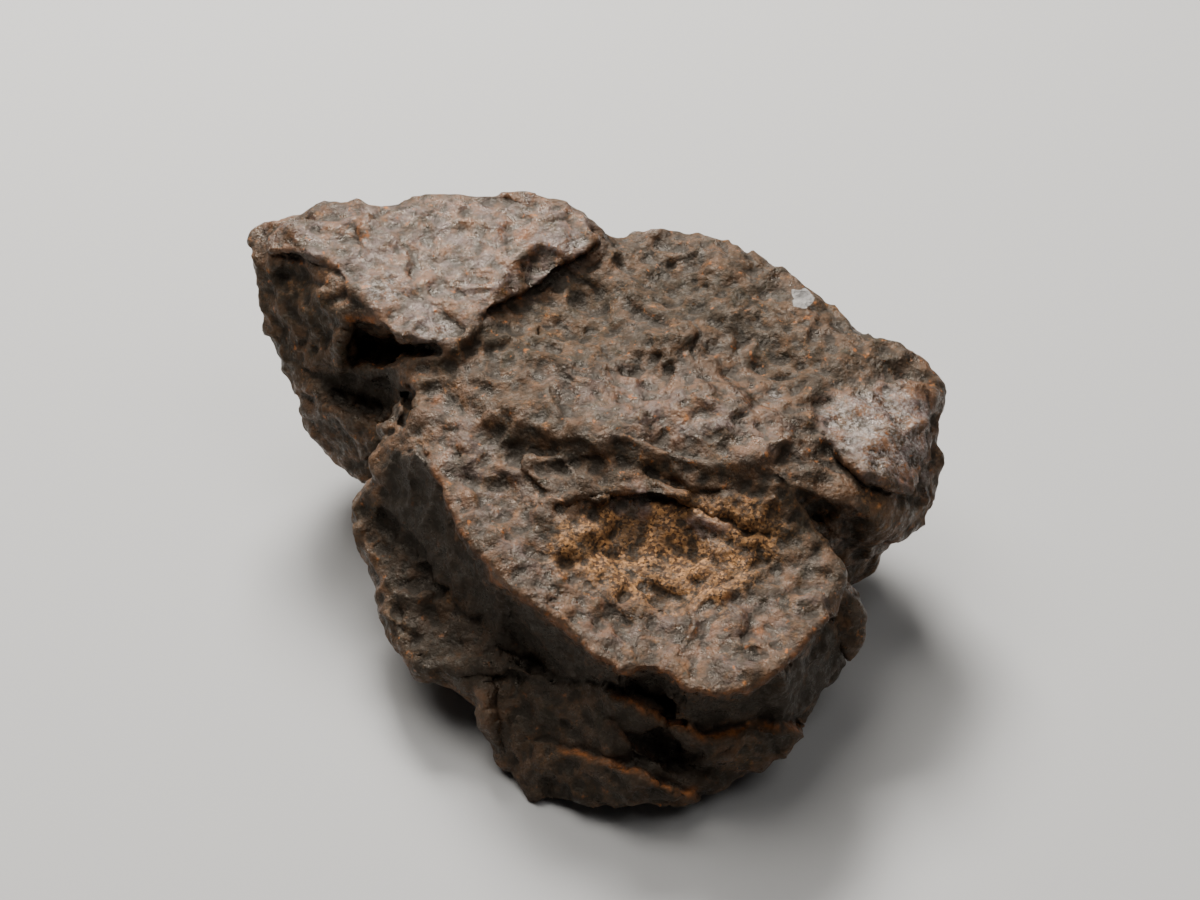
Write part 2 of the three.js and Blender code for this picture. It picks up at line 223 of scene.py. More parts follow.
# %% Picture and lines of sight
EYE = np.array(camera.location)
AHEAD = -np.array(towards_camera)
RIGHT = np.array((1.0, 0.0, 0.0))
UPWARD = np.cross(RIGHT, AHEAD)
FOCAL_PIXELS = LENS_MM / SENSOR_MM * FRAME_SIZE[0]
PIXELS_PER_MM = FOCAL_PIXELS * MM / CAMERA_DISTANCE


def picture(points):
    """Places in the picture, in pixels, and distances from the camera."""
    away = points - EYE
    depth = away @ AHEAD
    across = FRAME_SIZE[0] / 2 + FOCAL_PIXELS * (away @ RIGHT) / depth
    down = FRAME_SIZE[1] / 2 - FOCAL_PIXELS * (away @ UPWARD) / depth
    return np.column_stack((across, down)), depth


def sight(place):
    """The unit line of sight through a place in the picture."""
    across, down = place
    line = (
        AHEAD * FOCAL_PIXELS
        + RIGHT * (across - FRAME_SIZE[0] / 2)
        - UPWARD * (down - FRAME_SIZE[1] / 2)
    )
    return line / np.linalg.norm(line)


def skin_of(piece):
    """The piece's skin, ready to be met by lines of sight."""
    return BVHTree.FromObject(piece, bpy.context.evaluated_depsgraph_get())


def seen_point(skin, place):
    """The point of the skin that is seen at a place in the picture, or None beside the stone."""
    hit = skin.ray_cast(Vector(EYE), Vector(sight(place)))[0]
    return None if hit is None else np.array(hit)


print("pixels per mm in the middle of the stone:", round(PIXELS_PER_MM, 2))


# %% Blocks to carve with
def block(name, rings):
    """A closed block from rings of points, the first ring in front and the last at the back."""
    count = len(rings[0])
    points = [tuple(point) for ring in rings for point in ring]
    faces = [tuple(range(count)), tuple(reversed(range(len(points) - count, len(points))))]
    for ring in range(len(rings) - 1):
        for k in range(count):
            a = ring * count + k
            b = ring * count + (k + 1) % count
            faces.append((b, a, a + count, b + count))
    mesh = bpy.data.meshes.new(name)
    mesh.from_pydata(points, [], faces)
    made = bpy.data.objects.new(name, mesh)
    bpy.context.collection.objects.link(made)
    start_editing(made)
    bpy.ops.mesh.quads_convert_to_tris()
    bpy.ops.mesh.normals_make_consistent(inside=False)
    stop_editing()
    return made


def combine(piece, other, operation):
    """Joins `other` to the piece, or cuts it away, or keeps only what both share."""
    add_modifier(piece, "BOOLEAN", operation=operation, object=other, solver="MANIFOLD")


def discard(piece):
    bpy.data.objects.remove(piece, do_unlink=True)


# %% [markdown]
# A filling block could come out at the far side of a thin place. So every filling is first trimmed
# to a slightly swollen copy of the stone, which lets it add no more than the swelling.

# %% Swollen copy that trims the fillings
MOST_ADDED = mm(1.1)
SWOLLEN_CELL = mm(0.6)

swollen = copy_of(stone, "swollen")
add_modifier(swollen, "DISPLACE", strength=MOST_ADDED, mid_level=0)
add_modifier(swollen, "REMESH", mode="VOXEL", voxel_size=SWOLLEN_CELL)
print("a facet may add, mm:", MOST_ADDED / MM)

# %% [markdown]
# Where a plane lies isn't typed in as numbers either. It is fitted to the points of the skin that
# are seen along its outline. A few of them can fall into a gap beside the stone or behind an edge,
# so the point that is farthest off is dropped, up to four times, until the rest agree.

# %% Planes fitted to the skin
RIM_AGREES = mm(0.6)
MOST_DROPPED = 4
FEWEST_KEPT = 4


def best_plane(skin, outline, lean=(0, 0, 0), lift=0.0):
    """The plane that fits the skin along an outline, tipped by `lean` and lifted by `lift` mm."""
    found = [seen_point(skin, place) for place in outline]
    rim = np.array([point for point in found if point is not None])
    for _ in range(MOST_DROPPED):
        centre = rim.mean(0)
        facing = np.linalg.svd(rim - centre, full_matrices=False)[2][2]
        off = np.abs((rim - centre) @ facing)
        if off.max() < RIM_AGREES or len(rim) <= FEWEST_KEPT:
            break
        rim = np.delete(rim, off.argmax(), axis=0)
    facing *= np.sign(facing @ (EYE - centre))
    facing = facing + np.array(lean)
    facing /= np.linalg.norm(facing)
    return centre + facing * mm(lift), facing


def on_plane(outline, centre, facing):
    """Where the lines of sight through the outline meet a plane."""
    lines = np.array([sight(place) for place in outline])
    reach = ((centre - EYE) @ facing) / (lines @ facing)
    return EYE + lines * reach[:, None]


# %% Facets
BLOCK_HEIGHT = 2.5  # mm that a carving block reaches out from its plane


def facet(piece, outline, lean=(0, 0, 0), lift=0.0, thick=BLOCK_HEIGHT, fit=None, core=None):
    """Makes the skin inside the outline one plane, fitted to it or to the skin along `fit`.

    A `core` outline keeps the filling away from the stone's far edge, where it would hang over.
    """
    centre, facing = best_plane(skin_of(piece), fit or core or outline, lean, lift)
    above = [on_plane(outline, centre + facing * mm(h), facing) for h in (thick, 0)]
    below = [on_plane(core or outline, centre + facing * mm(h), facing) for h in (0, -thick)]
    fill = block("fill", below)
    combine(fill, swollen, "INTERSECT")
    combine(piece, fill, "UNION")
    shave = block("shave", above)
    combine(piece, shave, "DIFFERENCE")
    discard(fill)
    discard(shave)
    print("facet facing", np.round(facing, 2), "at, mm:", np.round(centre / MM, 1))


# %% [markdown]
# ## Facets of the head
#
# The head is the highest lump. Its top is one broad, nearly flat break that leans a little to the
# front and ends there in a long ragged lip. Its back edge is thin, so the filling stays inside a
# smaller outline.

# %% Head
HEAD_FRONT = [(598, 240), (585, 252), (562, 265), (544, 280), (530, 289), (500, 303), (486, 310),
    (476, 319), (467, 331), (452, 342), (436, 337), (424, 341), (408, 337), (396, 334), (383, 325),
    (372, 310), (352, 296), (345, 280), (333, 264), (312, 259), (290, 250), (268, 252)]
HEAD_TOP = [(245, 228), (296, 200), (400, 188), (505, 180), (560, 176), (600, 192), (612, 236)]
HEAD_TOP += HEAD_FRONT
HEAD_CORE = [(268, 236), (302, 222), (400, 216), (505, 208), (558, 205), (584, 214), (590, 236)]
HEAD_CORE += HEAD_FRONT

facet(stone, HEAD_TOP, lean=(0, -0.12, 0), lift=1.0, core=HEAD_CORE)

# %% [markdown]
# ## Facets of the slab and the shoulder
#
# The lower slab steps down to the front. Its rim is a chain of short straight breaks, so it is
# carved as five strips, each fitted a little inside the slab, where the skin is more even. A
# crest runs along the foot of the upper layer, a small grey plate lies in front of it, and one
# tilted face makes the right shoulder.

# %% Slab and right shoulder
SLAB_STRIPS = [
    [(427, 456), (441, 487), (450, 511), (463, 537), (482, 558), (512, 540), (490, 505), (470, 470),
     (455, 440)],
    [(482, 558), (490, 577), (508, 592), (529, 603), (550, 621), (580, 600), (545, 570), (512, 540)],
    [(550, 621), (571, 637), (592, 655), (616, 671), (653, 669), (660, 640), (620, 625), (580, 600)],
    [(653, 669), (677, 682), (699, 693), (731, 695), (766, 683), (788, 663), (760, 635), (700, 625),
     (660, 640)],
    [(788, 663), (802, 645), (816, 631), (829, 621), (815, 590), (785, 605), (760, 635)],
]
SLAB_MIDDLE = (620, 560)
FIT_INSIDE = 0.3  # share of the way to the slab's middle
SLAB_CREST = [(520, 452), (560, 460), (612, 452), (650, 462), (690, 500), (652, 496), (618, 492),
    (600, 502), (575, 500), (545, 490), (527, 472)]
GREY_PLATE = [(681, 519), (700, 516), (731, 526), (728, 540), (700, 538)]
RIGHT_FACET = [(812, 402), (850, 388), (900, 378), (934, 396), (932, 480), (924, 498), (883, 485),
    (868, 481), (845, 461), (828, 438)]


def towards(outline, middle, share):
    """The outline with each place moved part of the way to `middle`."""
    return [tuple(np.array(place) * (1 - share) + np.array(middle) * share) for place in outline]


for outline in SLAB_STRIPS:
    facet(stone, outline, fit=towards(outline, SLAB_MIDDLE, FIT_INSIDE))
facet(stone, SLAB_CREST, lean=(0, 0.3, 0), lift=0.5)
facet(stone, GREY_PLATE, lift=0.2)
facet(stone, RIGHT_FACET, lean=(-0.25, 0.15, 0), lift=0.8)

# %% [markdown]
# ## Facets of the walls
#
# Under the slab the stone falls away in flat faces: two walls and a flank on the left, a sill
# below them, and the blunt nose at the right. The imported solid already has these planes, only
# with blurred edges, so they need no lean or lift.

# %% Walls and nose
NEAR_WALL = [(415, 448), (432, 469), (445, 495), (455, 516), (466, 537), (483, 558), (487, 585),
    (479, 613), (471, 611), (455, 587), (424, 571), (390, 540), (377, 519), (379, 492), (387, 469)]
FAR_WALL = [(488, 580), (497, 579), (524, 597), (539, 611), (563, 629), (592, 655), (618, 674),
    (618, 692), (605, 690), (592, 676), (576, 675), (566, 681), (539, 676), (524, 666), (497, 647),
    (484, 620)]
FLANK = [(356, 525), (377, 519), (390, 540), (424, 571), (455, 587), (471, 611), (479, 618), (497, 647),
    (500, 665), (440, 668), (422, 668), (408, 650), (392, 618), (379, 580), (361, 550)]
SILL_FRONT = [(487, 668), (524, 673), (550, 686), (566, 688), (592, 680), (602, 692), (606, 716),
    (600, 738), (612, 760), (655, 778), (681, 797), (640, 806), (610, 808), (560, 803), (531, 798),
    (505, 763), (489, 710)]
RIM_STRIP = [(396, 443), (413, 446), (387, 469), (379, 492), (377, 519), (362, 530), (349, 521),
    (359, 500), (376, 474)]
NOSE_RIGHT = [(828, 616), (838, 630), (846, 650), (851, 676), (838, 704), (807, 724), (790, 722),
    (782, 700), (788, 672), (803, 646)]
NOSE_FRONT = [(684, 691), (699, 695), (713, 697), (731, 697), (748, 693), (766, 684), (782, 673),
    (787, 690), (788, 712), (770, 724), (748, 725), (734, 730), (716, 737), (702, 735), (688, 728),
    (678, 714)]
LIT_NOSE = [(738, 734), (757, 738), (764, 742), (769, 757), (759, 774), (742, 776), (722, 770),
    (709, 757), (715, 748)]
CHEEK = [(311, 416), (326, 408), (347, 417), (380, 425), (396, 430), (372, 456), (357, 464), (338, 452),
    (322, 436)]

WALL_FACETS = (NEAR_WALL, FAR_WALL, FLANK, SILL_FRONT, RIM_STRIP, NOSE_RIGHT, NOSE_FRONT, LIT_NOSE, CHEEK)
for outline in WALL_FACETS:
    facet(stone, outline)

# %% [markdown]
# ## Facets of the upper step
#
# The upper layer ends above the slab in a low, dark step, carved in three pieces. Two of them
# lean forward and down, so that the step hangs over a little and holds its shadow.

# %% Upper step
STEP_LEFT = [(487, 408), (514, 427), (537, 440), (565, 441), (590, 437), (613, 434), (612, 446),
    (590, 451), (565, 457), (535, 457), (508, 442), (484, 422)]
STEP_MIDDLE = [(613, 434), (631, 437), (661, 451), (689, 459), (716, 464), (757, 465), (780, 474),
    (781, 481), (758, 483), (742, 490), (719, 497), (689, 497), (650, 476), (620, 456)]
STEP_RIGHT = [(779, 473), (792, 484), (805, 491), (832, 502), (850, 508), (872, 516), (880, 522),
    (878, 532), (860, 547), (841, 545), (819, 529), (805, 510), (791, 488)]
STEP_LEAN = (0, -0.1, -0.3)

facet(stone, STEP_LEFT, lean=STEP_LEAN, thick=2)
facet(stone, STEP_MIDDLE, lean=STEP_LEAN, thick=2)
facet(stone, STEP_RIGHT, thick=3)

# %% [markdown]
# ## Hollows
#
# Under the head's corner lies a deep slot, with a shallow alcove and a slit below it, and the
# front wall has an arch, a small hole and a trough. A cutting block whose floor is smaller than
# its mouth gives each one sloping sides, as a broken pocket has.

# %% Hollows
SLOT = [(347, 318), (365, 317), (376, 322), (380, 330), (391, 333), (395, 340), (410, 342), (437, 344),
    (447, 349), (440, 355), (420, 358), (405, 359), (397, 366), (380, 367), (365, 367), (341, 369),
    (344, 350), (345, 330)]
ALCOVE = [(322, 375), (345, 371), (394, 370), (399, 392), (395, 420), (384, 423), (350, 415), (328, 404),
    (321, 390)]
SLIT = [(398, 385), (414, 384), (417, 395), (416, 412), (407, 430), (397, 428), (403, 410), (400, 395)]
ARCH = [(626, 676), (636, 672), (653, 670), (667, 675), (677, 684), (683, 694), (684, 702), (677, 711),
    (663, 711), (642, 700), (628, 686)]
SMALL_HOLE = [(686, 705), (697, 703), (706, 710), (703, 719), (692, 718)]
TROUGH = [(622, 722), (645, 728), (668, 738), (690, 748), (703, 753), (714, 768), (707, 782), (695, 786),
    (672, 772), (650, 758), (632, 745)]


def hollow(piece, outline, depth, taper, shift=(0, 0)):
    """Cuts a pocket `depth` mm deep whose floor is the outline shrunk by `taper` and shifted."""
    centre, facing = best_plane(skin_of(piece), outline)
    middle = np.mean(outline, axis=0)
    floor_outline = (np.array(outline) - middle) * taper + middle + shift
    front = on_plane(outline, centre + facing * mm(BLOCK_HEIGHT), facing)
    mouth = on_plane(outline, centre, facing)
    back = on_plane(floor_outline, centre - facing * mm(depth), facing)
    cutter = block("cutter", [front, mouth, back])
    combine(piece, cutter, "DIFFERENCE")
    discard(cutter)
    print("hollow, mm deep:", depth, "at, mm:", np.round(centre / MM, 1))


hollow(stone, SLOT, depth=2.6, taper=0.7)
hollow(stone, ALCOVE, depth=1.3, taper=0.6, shift=(8, 0))
hollow(stone, SLIT, depth=0.9, taper=0.7)
hollow(stone, ARCH, depth=1.3, taper=0.8, shift=(-4, 6))
hollow(stone, SMALL_HOLE, depth=0.6, taper=0.4)
hollow(stone, TROUGH, depth=1.2, taper=0.4)
discard(swollen)

# %% [markdown]
# ## An even skin
#
# Booleans leave long thin triangles, and those can't be displaced evenly. A voxel remesh covers
# the whole stone with small quads of one size, like fresh clay, and still keeps the carved edges.
# Loose crumbs are thrown away.

# %% Even out the skin
CLAY_CELL = mm(0.28)

add_modifier(stone, "REMESH", mode="VOXEL", voxel_size=CLAY_CELL)
start_editing(stone)
bpy.ops.mesh.separate(type="LOOSE")
bpy.ops.object.mode_set(mode="OBJECT")
pieces = list(bpy.context.selected_objects)
stone = max(pieces, key=lambda piece: len(piece.data.vertices))
for crumb in pieces:
    if crumb is not stone:
        discard(crumb)
stone.name = "weathered_stone"
print("loose crumbs:", len(pieces) - 1, "stone faces after the remesh:", len(stone.data.polygons))


# %% [markdown]
# ## Strokes
#
# The smaller marks are sculpted: a crack pushes the skin in along a line, a ridge lifts it, and a
# step lifts one side and sinks the other. As in Sculpt Mode, a stroke moves only what is seen,
# along the direction that the skin faces. Written down, it can be changed and repeated.

# %% Points of the skin
def positions(piece):
    """The piece's points, one row each."""
    flat = np.empty(len(piece.data.vertices) * 3)
    piece.data.vertices.foreach_get("co", flat)
    return flat.reshape(-1, 3)


def normals(piece):
    """The direction that the skin faces at each point."""
    flat = np.empty(len(piece.data.vertices) * 3)
    piece.data.vertex_normals.foreach_get("vector", flat)
    return flat.reshape(-1, 3)


def set_positions(piece, points):
    """Moves the piece's points to new places."""
    piece.data.vertices.foreach_set("co", points.ravel())
    piece.data.update()


# %% The skin as the camera sees it
SLOW_WAVE = 0.19
CROSS_WAVE = 0.07
WAVE_START = (0.7, 2.1)
QUICK_MIX = (0.8, 0.5)
QUICKER = 2.9
WAVE_SHARES = (0.7, 0.3)


def wobble(places, size=2.0):
    """Shifts places in the picture by a pixel or two in waves, so that no stroke runs straight."""
    swapped = places[:, ::-1]
    slow = np.sin(swapped * SLOW_WAVE + places * CROSS_WAVE + WAVE_START)
    quick = np.sin((swapped * QUICK_MIX[0] + places * QUICK_MIX[1]) * SLOW_WAVE * QUICKER)
    return places + size * (WAVE_SHARES[0] * slow + WAVE_SHARES[1] * quick)


class View:
    """The stone's skin as the camera sees it, ready for strokes."""

    def __init__(self, piece):
        self.piece = piece
        self.points = positions(piece)
        self.facing = normals(piece)
        self.places, self.depth = picture(self.points)
        self.seen = self.find_seen()
        self.places = wobble(self.places)

    def find_seen(self, cell=5, slack=mm(1.5)):
        """Marks skin that nothing nearer covers, by comparing depths in small cells."""
        column, row = (self.places / cell).astype(int).T
        key = row * FRAME_SIZE[0] + column
        nearest = np.full(key.max() + 1, np.inf)
        np.minimum.at(nearest, key, self.depth)
        faces_camera = ((EYE - self.points) * self.facing).sum(1) > 0
        return faces_camera & (self.depth < nearest[key] + slack)

    def push(self, amount):
        """Moves the seen skin outwards by an amount in mm for each point."""
        self.points += self.facing * (mm(1) * amount * self.seen)[:, None]

    def keep(self):
        """Hands the moved points to the piece."""
        moved = np.linalg.norm(self.points - positions(self.piece), axis=1)
        set_positions(self.piece, self.points)
        print("strokes move the skin by up to, mm:", round(moved.max() / MM, 2))


# %% Distances from lines and outlines
def to_line(places, path):
    """Distance in mm from each place to a path, positive on the path's left as seen."""
    path = np.array(path, dtype=float)
    best = np.full(len(places), np.inf)
    side = np.ones(len(places))
    for start, end in zip(path[:-1], path[1:]):
        along = end - start
        t = np.clip((places - start) @ along / (along @ along), 0, 1)
        gap = places - start - np.outer(t, along)
        distance = np.hypot(gap[:, 0], gap[:, 1])
        turn = along[0] * gap[:, 1] - along[1] * gap[:, 0]
        closer = distance < best
        best[closer] = distance[closer]
        side[closer] = np.where(turn[closer] > 0, -1, 1)
    return best * side / PIXELS_PER_MM


def inside(places, outline):
    """Distance in mm inside a closed outline, negative outside it."""
    closed = outline + outline[:1]
    within = np.zeros(len(places), dtype=bool)
    for (x0, y0), (x1, y1) in zip(closed[:-1], closed[1:]):
        if y0 != y1:
            crosses = (places[:, 1] < y0) != (places[:, 1] < y1)
            at = x0 + (places[:, 1] - y0) * (x1 - x0) / (y1 - y0)
            within ^= crosses & (places[:, 0] < at)
    return np.where(within, 1, -1) * np.abs(to_line(places, closed))


def ramp_up(value, start, end):
    """0 below `start`, 1 above `end`, smooth between."""
    t = np.clip((value - start) / (end - start), 0, 1)
    return t * t * (3 - 2 * t)


def bell(value, width):
    """1 at 0, fading smoothly out over `width`."""
    return np.exp(-((value / width) ** 2))


# %% Kinds of stroke
def crack(view, path, width, depth):
    """Pushes the skin in along a path."""
    view.push(-depth * bell(to_line(view.places, path), width))


def ridge(view, path, width, height):
    """Lifts the skin along a path."""
    view.push(height * bell(to_line(view.places, path), width))


def step(view, path, height, reach, crisp=0.25):
    """Lifts the left side of the path and sinks the right side, fading out over `reach` mm."""
    off = to_line(view.places, path)
    view.push(height / 2 * np.clip(off / crisp, -1, 1) * np.exp(-np.abs(off) / reach))


def sink(view, outline, depth, feather):
    """Sinks the skin inside an outline, with sides `feather` mm wide."""
    view.push(-depth * ramp_up(inside(view.places, outline), 0, feather))


def pits(view, outline, count, radius, depth, seed):
    """Presses small round pits into the skin inside an outline."""
    rng = np.random.default_rng(seed)
    open_skin = np.flatnonzero(view.seen & (inside(view.places, outline) > 0))
    for index in rng.choice(open_skin, count):
        size = radius * rng.uniform(0.5, 1.3)
        gap = np.linalg.norm(view.points - view.points[index], axis=1) / mm(size)
        view.push(-depth * rng.uniform(0.5, 1.2) * np.clip(1 - gap**2, 0, 1) ** 1.5)


# %% [markdown]
# ## Edges of the layers
#
# The stone splits in layers, and each layer ends in a small crisp drop. The remesh has blurred
# the slab's rim and the edge of the right shoulder, so a step is sculpted along each, with the
# high side on the left of the path.

# %% Edges of the layers
SHOULDER_EDGE = [(827, 438), (845, 463), (868, 483), (883, 486), (925, 500)]
SLAB_RIM = [(427, 456), (441, 487), (450, 511), (463, 537), (482, 558), (490, 577), (508, 592),
    (529, 603), (550, 621), (571, 637), (592, 655), (616, 671), (626, 675), (637, 671), (653, 669),
    (667, 674), (677, 682), (685, 690), (699, 693), (713, 695), (731, 695), (748, 692), (766, 683),
    (781, 672), (788, 663), (802, 645), (816, 631), (829, 621)]

view = View(stone)
step(view, SHOULDER_EDGE, height=0.5, reach=0.9)
step(view, SLAB_RIM, height=0.7, reach=0.9)
view.keep()

# %% [markdown]
# ## Marks on the top
#
# On the slab the skin has come off and left a shallow ochre break, with a crack along its upper
# side, a short crack and a low step. Beside the head the saddle is rough with small pits. Pits
# lie at random on a real stone, so a counted number is scattered.

# %% Marks on the top
OCHRE_BREAK = [(553, 566), (562, 540), (590, 520), (612, 511), (651, 500), (667, 503), (695, 508),
    (711, 519), (731, 524), (766, 537), (782, 550), (770, 562), (744, 579), (711, 598), (695, 611),
    (662, 608), (640, 592), (590, 587)]
UPPER_CRACK = [(651, 496), (667, 502), (695, 506), (711, 517), (731, 522), (750, 534), (767, 535)]
SHORT_CRACK = [(567, 507), (582, 499), (596, 496), (610, 497)]
PALE_RIDGE = [(632, 386), (650, 372), (672, 358)]
SLAB_STEP = [(764, 565), (745, 578), (720, 590), (697, 602), (673, 612), (654, 603), (640, 592)]
ROUGH_SADDLE = [(600, 262), (690, 240), (745, 262), (770, 320), (740, 350), (640, 385), (570, 375),
    (500, 350), (540, 310), (590, 290)]

view = View(stone)
sink(view, OCHRE_BREAK, depth=0.3, feather=1.6)
crack(view, UPPER_CRACK, width=0.35, depth=0.4)
crack(view, SHORT_CRACK, width=0.3, depth=0.4)
ridge(view, PALE_RIDGE, width=0.4, height=0.4)
step(view, SLAB_STEP, height=0.6, reach=1.2)
pits(view, ROUGH_SADDLE, count=24, radius=0.7, depth=0.35, seed=3)
view.keep()

# %% [markdown]
# ## Marks on the sides
#
# The front wall breaks into three ledges, one under the other, with sharp lips. Thin ridges frame
# the slot, the alcove, the nose and the sill, and the head's left face has two shallow scoops.

# %% Marks on the sides
ALCOVE_RIDGE = [(302, 372), (319, 389), (326, 404), (347, 414), (358, 421)]
SLOT_RIDGE = [(346, 322), (341, 345), (339, 366)]
HIGH_SCOOP = [(256, 262), (300, 262), (330, 272), (352, 290), (345, 305), (320, 300), (290, 292),
    (262, 286)]
LOW_SCOOP = [(298, 332), (318, 322), (336, 334), (337, 358), (322, 368), (306, 355)]
FIRST_LEDGE = [(805, 729), (770, 725), (748, 726), (734, 731), (716, 738), (702, 736), (688, 729),
    (670, 722), (652, 713), (635, 704), (613, 693)]
SECOND_LEDGE = [(655, 756), (638, 748), (628, 740), (620, 732), (610, 722)]
LOW_LEDGE = [(693, 795), (683, 793), (667, 788), (649, 777), (620, 766), (596, 759), (560, 748)]
NOSE_RIDGE = [(738, 739), (726, 750), (713, 757), (695, 754)]
SILL_RIDGE = [(419, 666), (487, 666), (524, 671), (550, 684), (568, 687)]

view = View(stone)
ridge(view, ALCOVE_RIDGE, width=0.6, height=0.6)
ridge(view, SLOT_RIDGE, width=0.5, height=0.5)
sink(view, HIGH_SCOOP, depth=0.5, feather=1.5)
sink(view, LOW_SCOOP, depth=0.7, feather=1.2)
step(view, FIRST_LEDGE, height=1.3, reach=1.4)
step(view, SECOND_LEDGE, height=0.7, reach=1.0)
step(view, LOW_LEDGE, height=1.0, reach=1.3)
ridge(view, NOSE_RIDGE, width=0.3, height=0.5)
ridge(view, SILL_RIDGE, width=0.4, height=0.4)
view.keep()


# %% [markdown]
# ## Where the relief may act
#
# The texture of the break must not chew everything alike: polished faces, the rims of the layers,
# other sharp edges and the unseen back get less of it. So each point gets a weight, as in weight
# painting. Edges are found by smoothing the skin for a while: what lies deeper afterwards stood
# out before.

# %% Patches of the skin
def patch(view, outline, feather):
    """1 on seen skin well inside the outline, fading to 0 at `feather` mm outside it."""
    return view.seen * ramp_up(inside(view.places, outline), -feather, feather)


def line(view, path, width):
    """1 on seen skin at the path, fading out over `width` mm."""
    return view.seen * bell(to_line(view.places, path), width)


def most(layers):
    """The largest of several values at each point."""
    return np.max(layers, axis=0)


# %% Measures of the skin
BACK_TURN = (-0.15, 0.3)  # how far skin turns away from the camera where it starts and is all back


def neighbour_mean(points, edges):
    """The mean of each point's neighbours, over the mesh's edges."""
    count = np.bincount(edges.ravel(), minlength=len(points))
    total = np.empty_like(points)
    for axis in range(3):
        ends = points[edges[:, ::-1].ravel(), axis]
        total[:, axis] = np.bincount(edges.ravel(), weights=ends, minlength=len(points))
    return total / count[:, None]


def hollowness(piece, rounds, full):
    """0.5 on level skin, 1 where it lies `full` mm under its surroundings, 0 where it stands out."""
    edges = np.empty(len(piece.data.edges) * 2, dtype=int)
    piece.data.edges.foreach_get("vertices", edges)
    edges = edges.reshape(-1, 2)
    start = positions(piece)
    smooth = start
    for _ in range(rounds):
        smooth = (smooth + neighbour_mean(smooth, edges)) / 2
    sunk = ((smooth - start) * normals(piece)).sum(1)
    return np.clip(0.5 + 0.5 * sunk / mm(full), 0, 1)


def back_share(piece):
    """1 on skin that faces away from the camera, fading to 0 where it turns towards it."""
    return ramp_up(-normals(piece) @ np.array(towards_camera), *BACK_TURN)


# %% Weights for the relief
HEAD_POLISH = [(255, 225), (330, 205), (505, 190), (590, 210), (590, 250), (545, 282), (470, 320),
    (440, 340), (395, 330), (340, 268), (290, 250)]
UPPER_RIM = [(480, 405), (493, 414), (514, 427), (537, 440), (565, 441), (590, 437), (613, 434),
    (631, 437), (661, 451), (689, 459), (716, 464), (757, 465), (780, 474), (800, 490), (831, 502),
    (850, 508), (872, 516), (895, 523), (913, 514)]
EDGE_START = 0.08
EDGE_FULL = 0.4
POLISH_CALM = 0.3
RIM_CALM = 0.6
EDGE_CALM = 0.7
BACK_CALM = 0.55


def weigh(piece, name, weights):
    """Stores how strongly a displacement acts on each point, as weight painting does."""
    group = piece.vertex_groups.new(name=name)
    rounded = np.round(weights, 1)
    for weight in np.unique(rounded):
        group.add(np.flatnonzero(rounded == weight).tolist(), float(weight), "REPLACE")


view = View(stone)
polished = most([patch(view, HEAD_POLISH, feather=2.0), patch(view, RIGHT_FACET, feather=1.0)])
rims = most([line(view, path, width=1.0) for path in (SLAB_RIM, UPPER_RIM, FIRST_LEDGE, LOW_LEDGE)])
edges = ramp_up(0.5 - hollowness(stone, rounds=40, full=0.5), EDGE_START, EDGE_FULL)
calm = most([
    POLISH_CALM * polished,
    RIM_CALM * rims,
    EDGE_CALM * edges,
    BACK_CALM * back_share(stone),
])
weigh(stone, "rough", 1 - calm)
print("share of the skin that is an edge:", round(float(edges.mean()), 3))

# %% [markdown]
# ## Broken relief
#
# A chondrite breaks across its grains, so its faces are hackly at several sizes. Displacement
# textures make that evenly all round, where sculpting would take days: a broad swell first, then
# ridges and waves, then a fine crumple and pebbles. Ridged noise gives the edges, and plain
# clouds keep them from looking alike.

# %% Displace with layered textures
def texture(name, kind, **settings):
    """A procedural texture for a displacement."""
    made = bpy.data.textures.new(name, kind)
    for key, value in settings.items():
        setattr(made, key, value)
    return made


def ridged(name, size, octaves):
    """Noise with sharp crests."""
    return texture(name, "MUSGRAVE", musgrave_type="RIDGED_MULTIFRACTAL", noise_scale=mm(size),
                   octaves=octaves, gain=1.2, offset=0.9)


def clouds(name, size, layers):
    """Soft noise, with finer noise on top for each of `layers`."""
    return texture(name, "CLOUDS", noise_scale=mm(size), noise_depth=layers)


def displace(piece, pattern, height, middle, group=""):
    """Pushes the skin out and in by `pattern`, over `height` from its darkest to its lightest."""
    add_modifier(piece, "DISPLACE", texture=pattern, strength=height, mid_level=middle,
                 texture_coords="LOCAL", vertex_group=group)
    print("relief", pattern.name, "mm high:", round(height / MM, 2))


knobs = texture("knobs", "VORONOI", noise_scale=mm(1.5), distance_metric="DISTANCE_SQUARED")

displace(stone, clouds("swell", 4.5, layers=1), height=mm(0.7), middle=0.42)
displace(stone, ridged("ridges", 3.6, octaves=3), height=mm(0.45), middle=0.5, group="rough")
displace(stone, knobs, height=mm(-0.05), middle=0.4, group="rough")
displace(stone, clouds("waves", 1.5, layers=0), height=mm(0.56), middle=0.5, group="rough")
displace(stone, ridged("crumple", 1.7, octaves=2), height=mm(0.13), middle=0.5, group="rough")
displace(stone, clouds("pebble", 0.8, layers=2), height=mm(0.14), middle=0.5, group="rough")

# %% [markdown]
# ## Flake scars
#
# Where a flake has come off, the skin drops by a few tenths of a millimetre along a short edge.
# Many such edges, at random places and in random directions, give the stone its chipped look. The
# back has no carved facets, so it gets larger flakes of its own.

# %% Flakes all round and on the back
SMALL_FLAKES = 420
SMALL_WIDTHS = (0.9, 3.2)
LARGE_FLAKES = 60
LARGE_WIDTHS = (3.0, 6.0)
FLAKE_DROP = 0.16  # mm for each mm of width
FLAKE_CRISP = 0.2
FLAKE_REACH = 2.5  # widths
EDGE_WAVE = 0.3
EDGE_WAVE_LENGTH = 0.7
RIMS_SPARED = 0.5


